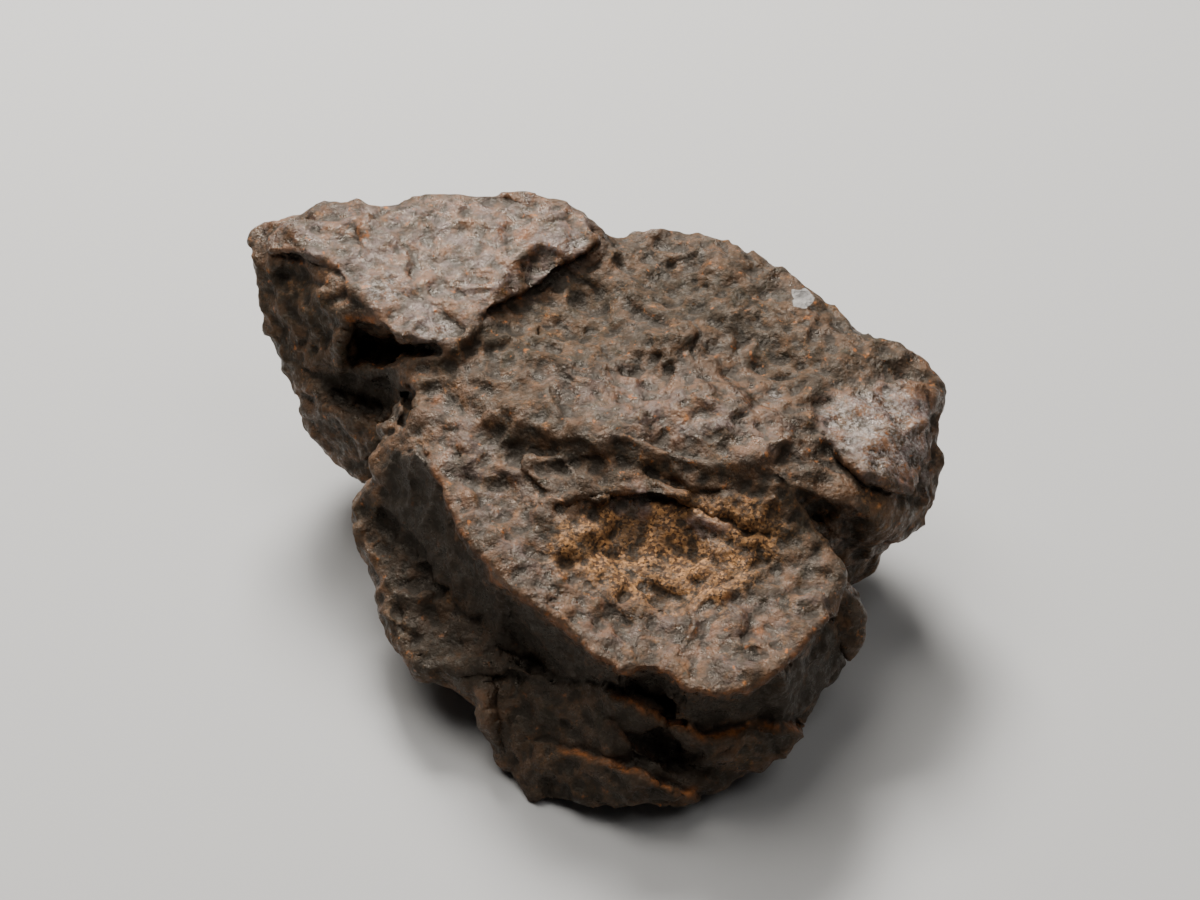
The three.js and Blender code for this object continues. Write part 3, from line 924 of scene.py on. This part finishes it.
def flake_off(piece, count, widths, share, seed):
    """Drops the skin along short edges at random places, each with a width in mm out of `widths`."""
    rng = np.random.default_rng(seed)
    skin = positions(piece)
    facing = normals(piece)
    amount = np.zeros(len(skin))
    for index in rng.choice(len(skin), count, p=share):
        radius = mm(1) * rng.uniform(*widths)
        drop = mm(FLAKE_DROP) * rng.uniform(0.5, 1.0) * radius / mm(1)
        across = np.cross(facing[index], rng.normal(size=3))
        across /= np.linalg.norm(across)
        gap = skin - skin[index]
        near = (gap**2).sum(1) < (FLAKE_REACH * radius) ** 2
        wave = mm(EDGE_WAVE) * np.sin(gap[near].sum(1) / mm(EDGE_WAVE_LENGTH))
        off = gap[near] @ across + wave
        fade = np.exp(-(gap[near] ** 2).sum(1) / radius**2)
        amount[near] += drop / 2 * np.clip(off / mm(FLAKE_CRISP), -1, 1) * fade
    set_positions(piece, skin + facing * (amount * (1 - RIMS_SPARED * rims))[:, None])
    print(count, "flakes move the skin by up to, mm:", round(np.abs(amount).max() / MM, 2))


flake_off(stone, SMALL_FLAKES, SMALL_WIDTHS, share=None, seed=11)
away = back_share(stone)
flake_off(stone, LARGE_FLAKES, LARGE_WIDTHS, share=away / away.sum(), seed=5)

# %% [markdown]
# ## Seat and mesh size
#
# The relief may have pushed a few points through the table. They are lifted back to it, so that
# the stone rests flat on its foot. Then the mesh is thinned out where the skin is nearly flat,
# and the sharp places keep their points.

# %% Seat the stone
skin = positions(stone)
print("points under the table:", int((skin[:, 2] < 0).sum()))
skin[:, 2] = np.maximum(skin[:, 2], 0)
set_positions(stone, skin)

# %% Thin out the mesh
TRIANGLES = 190_000

triangles = sum(len(face.vertices) - 2 for face in stone.data.polygons)
add_modifier(stone, "DECIMATE", ratio=TRIANGLES / triangles)
only(stone)
bpy.ops.object.shade_smooth()
print("triangles:", triangles, "thinned to", len(stone.data.polygons))

# %% [markdown]
# ## Where the finish changes
#
# Weathering follows the relief: fine hollows are darker, ledges and rims carry rust, and high spots
# are polished. The walls, the alcove and the back also get painted shade, and small glinting patches
# a painted highlight. An image could hold this, but the stone has no seams to unwrap along. So each
# point of the skin gets numbers that the material can read.

# %% Patches of the finish
VALLEY_POLISH = [(540, 380), (640, 370), (760, 400), (800, 440), (760, 455), (680, 440), (600, 425)]
SLAB_POLISH = [(430, 400), (470, 400), (520, 480), (560, 580), (640, 610), (740, 600), (820, 560),
    (830, 600), (740, 680), (660, 660), (590, 640), (500, 560), (440, 470)]
GREY_TOOTH = [(629, 478), (640, 478), (648, 492), (652, 506), (646, 518), (626, 520), (611, 508),
    (620, 492)]
OCHRE_GRAIN = [(545, 560), (560, 525), (600, 505), (660, 498), (730, 500), (780, 505), (785, 540),
    (750, 580), (720, 610), (660, 615), (600, 590)]
WHITE_CHIP = [(790, 290), (803, 287), (818, 300), (808, 310), (796, 306)]
SLOT_LIP = [(347, 320), (356, 317), (366, 318), (374, 324)]
RUST_SPOTS = [  # place in the picture and size in pixels
    ((438, 402), 5),
    ((757, 632), 4),
    ((818, 636), 4),
    ((522, 234), 7),
    ((728, 595), 4),
    ((690, 790), 5),
]
WALLS = SLAB_RIM + [(838, 640), (860, 680), (800, 740), (700, 800), (560, 806), (500, 760), (484, 690),
                    (420, 670), (380, 560), (377, 519), (392, 450)]
EARTHY = {  # how dull each patch is, and its outline
    "slope under the head": (1.0, [(456, 318), (510, 304), (592, 268), (616, 284), (624, 340),
        (560, 372), (480, 360)]),
    "saddle": (0.9, [(620, 250), (688, 262), (736, 260), (790, 310), (830, 364), (800, 392),
                     (736, 344), (672, 322), (620, 310)]),
    "behind the shoulder": (0.8, [(800, 360), (850, 344), (900, 362), (860, 382), (820, 400)]),
    "right end of the slab": (0.7, [(730, 520), (790, 510), (836, 560), (826, 610), (790, 640),
        (750, 600)]),
    "left face of the head": (0.8, [(256, 262), (330, 272), (352, 310), (337, 366), (300, 350),
        (262, 300)]),
}
# patches of fine scales that get a painted highlight
GLINTING = {
    "shoulder": [(818, 410), (850, 396), (900, 386), (926, 400), (926, 470), (884, 478), (840, 450)],
    "head lip": [(408, 322), (430, 314), (457, 325), (452, 341), (425, 338)],
    "head right end": [(546, 240), (570, 236), (586, 240), (584, 251), (552, 252)],
    "head left end": [(360, 278), (385, 273), (402, 288), (396, 302), (372, 300)],
    "valley": [(676, 430), (690, 426), (703, 431), (694, 439)],
    "valley right end": [(768, 394), (778, 392), (783, 402), (773, 407)],
}
# painted shade on the skin that faces away from the camera
BACK_SHADE = 0.95


# %% Paint the patches on the skin
def spot(view, place, size):
    """1 on seen skin at a place in the picture, fading out over `size` pixels."""
    gap = np.linalg.norm(view.places - np.array(place), axis=1)
    return view.seen * bell(gap, size)


def paint(piece, name, values):
    """Stores a number for each point of the skin, for the material."""
    layer = piece.data.attributes.new(name, "FLOAT", "POINT")
    layer.data.foreach_set("value", values)
    print("painted", name, "on average", round(float(np.mean(values)), 3))


view = View(stone)
paint(stone, "fine_hollow", hollowness(stone, rounds=6, full=0.07))

grey = most([patch(view, outline, feather=0.3) for outline in (GREY_TOOTH, GREY_PLATE)])
paint(stone, "polish", most([
    patch(view, HEAD_POLISH, feather=2.0),
    patch(view, RIGHT_FACET, feather=1.0),
    0.7 * patch(view, VALLEY_POLISH, feather=2.0),
    0.6 * patch(view, SLAB_POLISH, feather=2.0),
    grey,
]))
paint(stone, "ochre", patch(view, OCHRE_GRAIN, feather=1.8) * (1 - grey))

rust_lines = [line(view, path, width=0.22) for path in (FIRST_LEDGE, SECOND_LEDGE, LOW_LEDGE, SLOT_LIP)]
rust_lines += [0.7 * line(view, SLAB_RIM, width=0.25)]
rust_spots = [spot(view, place, size) for place, size in RUST_SPOTS]
paint(stone, "rust", most(rust_lines + rust_spots))

# Painted shade on the front walls and in the alcove; the lit ledges and nose stay out of it, the sill and
# flank partly
left_unshaded = most([
    patch(view, LIT_NOSE, feather=0.4),
    line(view, FIRST_LEDGE, width=0.6),
    line(view, LOW_LEDGE, width=0.5),
    0.4 * patch(view, SILL_FRONT, feather=1.0),
    0.3 * patch(view, FLANK, feather=1.0),
])
dark = most([patch(view, WALLS, feather=0.3), patch(view, ALCOVE, feather=0.5)])
paint(stone, "shade", dark * (1 - left_unshaded))

dull = [strength * patch(view, outline, feather=2.0) for strength, outline in EARTHY.values()]
# the back gets painted shade here, along with the dull patches
paint(stone, "dull_and_back_shade", most(dull + [BACK_SHADE * back_share(stone)]))
paint(stone, "chip", patch(view, WHITE_CHIP, feather=0.25))
# the glint patches get a painted highlight in the material
paint(stone, "glint", most([patch(view, outline, feather=0.5) for outline in GLINTING.values()]))


# %% [markdown]
# ## Finish
#
# The skin is chocolate brown with umber and rusty clouds and an olive-black mottle. Polished
# places turn lilac-grey, partly as a painted sheen, and rose-brown, and mirror more; broken places
# show rough ochre grains, and every fine hollow is darker. Painted shade darkens the front walls,
# the alcove and the back, and a painted highlight lightens the glinting scales. The layers are laid
# on from the bottom up, as a painter would: noise in the stone's own coordinates decides where a
# colour goes, and the painted numbers where it may show at all.

# %% Short names for nodes
class Mixer:
    """Short names for the few node kinds that the stone needs."""

    def __init__(self, material):
        self.nodes = material.node_tree.nodes
        self.links = material.node_tree.links
        self.coords = self.nodes.new("ShaderNodeTexCoord").outputs["Object"]

    def put(self, value, socket):
        """Links a node's output to a socket, or writes a plain value there."""
        if isinstance(value, bpy.types.NodeSocket):
            self.links.new(value, socket)
        else:
            socket.default_value = value

    def noise(self, size, detail, roughness, distortion=0.0):
        """Noise with lumps `size` mm across."""
        node = self.nodes.new("ShaderNodeTexNoise")
        node.inputs["Scale"].default_value = 1 / mm(size)
        node.inputs["Detail"].default_value = detail
        node.inputs["Roughness"].default_value = roughness
        node.inputs["Distortion"].default_value = distortion
        self.links.new(self.coords, node.inputs["Vector"])
        return node.outputs["Fac"]

    def cells(self, size, output="Distance"):
        """Grains `size` mm apart."""
        node = self.nodes.new("ShaderNodeTexVoronoi")
        node.inputs["Scale"].default_value = 1 / mm(size)
        self.links.new(self.coords, node.inputs["Vector"])
        return node.outputs[output]

    def painted(self, name):
        """The number painted on each point of the skin."""
        node = self.nodes.new("ShaderNodeAttribute")
        node.attribute_name = name
        return node.outputs["Fac"]

    def between(self, value, start, end, low=0.0, high=1.0):
        """Maps `value` from start..end to low..high, clamped."""
        node = self.nodes.new("ShaderNodeMapRange")
        self.put(value, node.inputs["Value"])
        node.inputs["From Min"].default_value = start
        node.inputs["From Max"].default_value = end
        node.inputs["To Min"].default_value = low
        node.inputs["To Max"].default_value = high
        return node.outputs["Result"]

    def share(self, value, high, low=0.0):
        """Goes from `low` to `high` while `value` goes from 0 to 1."""
        return self.between(value, 0, 1, low, high)

    def cloud(self, size, start, end, low=0.0, high=1.0, detail=6, roughness=0.75, distortion=0.0):
        """Noise that is `low` under `start` and `high` over `end`: a cloudy mask."""
        return self.between(self.noise(size, detail, roughness, distortion), start, end, low, high)

    def maths(self, operation, a, b):
        """One sum of two values, such as ADD or MULTIPLY."""
        node = self.nodes.new("ShaderNodeMath")
        node.operation = operation
        self.put(a, node.inputs[0])
        self.put(b, node.inputs[1])
        return node.outputs["Value"]

    def blend(self, amount, under, over):
        """`over` laid on `under` by `amount`."""
        node = self.nodes.new("ShaderNodeMix")
        node.data_type = "RGBA"
        self.put(amount, node.inputs["Factor"])
        self.put(under, node.inputs["A"])
        self.put(over, node.inputs["B"])
        return node.outputs["Result"]


# %% Colours of the layers
CHOCOLATE = (0.024, 0.013, 0.007, 1)
UMBER = (0.068, 0.037, 0.020, 1)
RUST_BROWN = (0.108, 0.051, 0.022, 1)
OLIVE_BLACK = (0.018, 0.014, 0.006, 1)
RUST = (0.32, 0.10, 0.02, 1)
# partly the polished skin's own lilac-grey, partly a painted sheen
LILAC_POLISH_AND_SHEEN = (0.120, 0.080, 0.072, 1)
ROSE_BROWN = (0.190, 0.085, 0.040, 1)
OCHRE_DARK = (0.070, 0.032, 0.014, 1)
OCHRE_LIGHT = (0.50, 0.24, 0.085, 1)
# near-black, for painted shade and for the darker fine hollows
SHADE_AND_HOLLOW_BLACK = (0.008, 0.006, 0.004, 1)
CHALK = (0.29, 0.275, 0.26, 1)
# a painted highlight on the glinting scales
GLINT_HIGHLIGHT_SILVER = (0.30, 0.27, 0.25, 1)


def brown_skin(mix):
    """Chocolate brown and umber, with rusty clouds and an olive-black mottle."""
    colour = mix.blend(mix.cloud(2.2, 0.4, 0.6, roughness=0.7), CHOCOLATE, UMBER)
    colour = mix.blend(mix.cloud(2.6, 0.5, 0.6, distortion=0.3), colour, RUST_BROWN)
    return mix.blend(mix.cloud(1.9, 0.52, 0.66, distortion=0.5), colour, OLIVE_BLACK)


def polished_skin(mix, colour):
    """Lilac-grey clouds on polished skin, partly a painted sheen, and a rose-brown blush, weaker on the
    rest.
    """
    # partly painted sheen: lilac-grey stands in for the reflection on polished skin
    polish_and_sheen = mix.maths("MULTIPLY", mix.painted("polish"), mix.cloud(1.7, 0.44, 0.6))
    colour = mix.blend(polish_and_sheen, colour, LILAC_POLISH_AND_SHEEN)
    blush = mix.cloud(2.2, 0.5, 0.6, high=0.75, detail=5, roughness=0.7, distortion=0.4)
    blush = mix.maths("MULTIPLY", mix.share(mix.painted("polish"), high=1, low=0.25), blush)
    return mix.blend(blush, colour, ROSE_BROWN)


def rust_specks(mix, colour):
    """Small specks of rust all over."""
    specks = mix.cloud(0.8, 0.64, 0.72, detail=3, roughness=0.6, distortion=0.4)
    return mix.blend(specks, colour, RUST)


def ochre_grains(mix):
    """Grains of a fresh break, each in a brown of its own."""
    tone = mix.between(mix.cells(0.22, "Color"), 0.3, 0.8)
    return mix.blend(tone, OCHRE_DARK, OCHRE_LIGHT)


def rusty_edges(mix, colour):
    """Rust on the painted lines and spots, with gaps in it."""
    gaps = mix.cloud(1.1, 0.4, 0.6, low=0.2, detail=4, roughness=0.7)
    return mix.blend(mix.maths("MULTIPLY", mix.painted("rust"), gaps), colour, RUST)


def white_chip(mix, colour):
    """The one pale inclusion, with a ragged outline."""
    ragged = mix.cloud(0.7, 0.3, 0.7, low=-0.25, high=0.25, detail=4, roughness=0.7)
    chip = mix.between(mix.maths("ADD", mix.painted("chip"), ragged), 0.45, 0.6)
    return mix.blend(chip, colour, CHALK)


# %% Places that change colour and gloss
def dull_and_shaded_places(mix):
    """Earthy skin from the painted patches, painted shade on the skin facing away from the camera, and a
    few large weak clouds anywhere.
    """
    clouds_anywhere = mix.cloud(5.0, 0.45, 0.6, high=0.6, detail=2, roughness=0.5)
    return mix.maths("MAXIMUM", mix.painted("dull_and_back_shade"), clouds_anywhere)


def broken_places(mix):
    """The ochre break: the painted patch with a ragged outline."""
    ragged = mix.cloud(1.6, 0.35, 0.65, low=-0.6, high=0.6, roughness=0.8)
    return mix.between(mix.maths("ADD", mix.painted("ochre"), ragged), 0.2, 1.4)


def glinting_places(mix):
    """Fine scales in the painted patches, which flash like foil: smoother skin with a painted highlight
    in its colour.
    """
    scales = mix.cloud(0.35, 0.47, 0.6, detail=4, roughness=0.7, distortion=0.6)
    return mix.maths("MULTIPLY", mix.painted("glint"), scales)


# %% Material
SATIN = 0.66
SHINY = 0.23
SPECULAR = 0.55
SKIN_SHEEN = (1.0, 0.86, 0.70, 1)
BUMP_HEIGHT = mm(0.36)
POLISHED_BUMP = 0.7
GRAIN_RELIEF = -0.2
FINE_RELIEF = 0.2


def skin_roughness(mix, broken, dull, glint):
    """Satin skin with small shiny places, smoother where polished and rougher where broken."""
    rough = mix.share(mix.cloud(0.9, 0.46, 0.58, detail=4, roughness=0.7), high=SHINY, low=SATIN)
    rough = mix.maths("SUBTRACT", rough, mix.share(mix.painted("polish"), high=0.12))
    rough = mix.maths("ADD", rough, mix.share(broken, high=0.3))
    rough = mix.maths("ADD", rough, mix.share(dull, high=0.2))
    return mix.maths("SUBTRACT", rough, mix.share(glint, high=0.15))


def skin_bump(mix):
    """Grain too fine for the mesh: lumps, dents between grains and a fine roughness."""
    grain = mix.maths("MULTIPLY", mix.cells(0.45), GRAIN_RELIEF)
    relief = mix.maths("ADD", mix.noise(1.0, detail=6, roughness=0.68), grain)
    fine = mix.maths("MULTIPLY", mix.noise(0.3, detail=3, roughness=0.6), FINE_RELIEF)
    relief = mix.maths("ADD", relief, fine)
    bump = mix.nodes.new("ShaderNodeBump")
    bump.inputs["Distance"].default_value = BUMP_HEIGHT
    mix.put(mix.share(mix.painted("polish"), high=POLISHED_BUMP, low=1.0), bump.inputs["Strength"])
    mix.put(relief, bump.inputs["Height"])
    return bump.outputs["Normal"]


def weathered_chondrite():
    """The stone's one material."""
    material = bpy.data.materials.new("weathered_chondrite")
    material.use_nodes = True
    shader = material.node_tree.nodes["Principled BSDF"]
    mix = Mixer(material)
    dull = dull_and_shaded_places(mix)
    broken = broken_places(mix)
    glint = glinting_places(mix)

    colour = brown_skin(mix)
    # darker olive-black on the dull patches, and painted shade on the back
    colour = mix.blend(mix.share(dull, high=0.5), colour, OLIVE_BLACK)
    colour = polished_skin(mix, colour)
    colour = rust_specks(mix, colour)
    colour = mix.blend(broken, colour, ochre_grains(mix))
    # darker in the fine hollows
    hollow_dark = mix.between(mix.painted("fine_hollow"), 0.55, 0.9, high=0.85)
    colour = mix.blend(hollow_dark, colour, SHADE_AND_HOLLOW_BLACK)
    colour = rusty_edges(mix, colour)
    colour = white_chip(mix, colour)
    # painted highlight: silver-grey on the glinting scales
    colour = mix.blend(mix.share(glint, high=0.6), colour, GLINT_HIGHLIGHT_SILVER)
    # painted shade: the front walls and the alcove darken towards near-black
    colour = mix.blend(mix.share(mix.painted("shade"), high=0.85), colour, SHADE_AND_HOLLOW_BLACK)

    mix.put(colour, shader.inputs["Base Color"])
    mix.put(skin_roughness(mix, broken, dull, glint), shader.inputs["Roughness"])
    mix.put(skin_bump(mix), shader.inputs["Normal"])
    shader.inputs["Specular IOR Level"].default_value = SPECULAR
    shader.inputs["Specular Tint"].default_value = SKIN_SHEEN
    print("nodes in the material:", len(material.node_tree.nodes))
    return material


stone.data.materials.clear()
stone.data.materials.append(weathered_chondrite())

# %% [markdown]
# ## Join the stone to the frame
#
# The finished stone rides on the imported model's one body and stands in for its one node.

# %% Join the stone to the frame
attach(stone, "root")
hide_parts("chondrite_stone")

print("triangles:", sum(len(face.vertices) - 2 for face in stone.data.polygons))
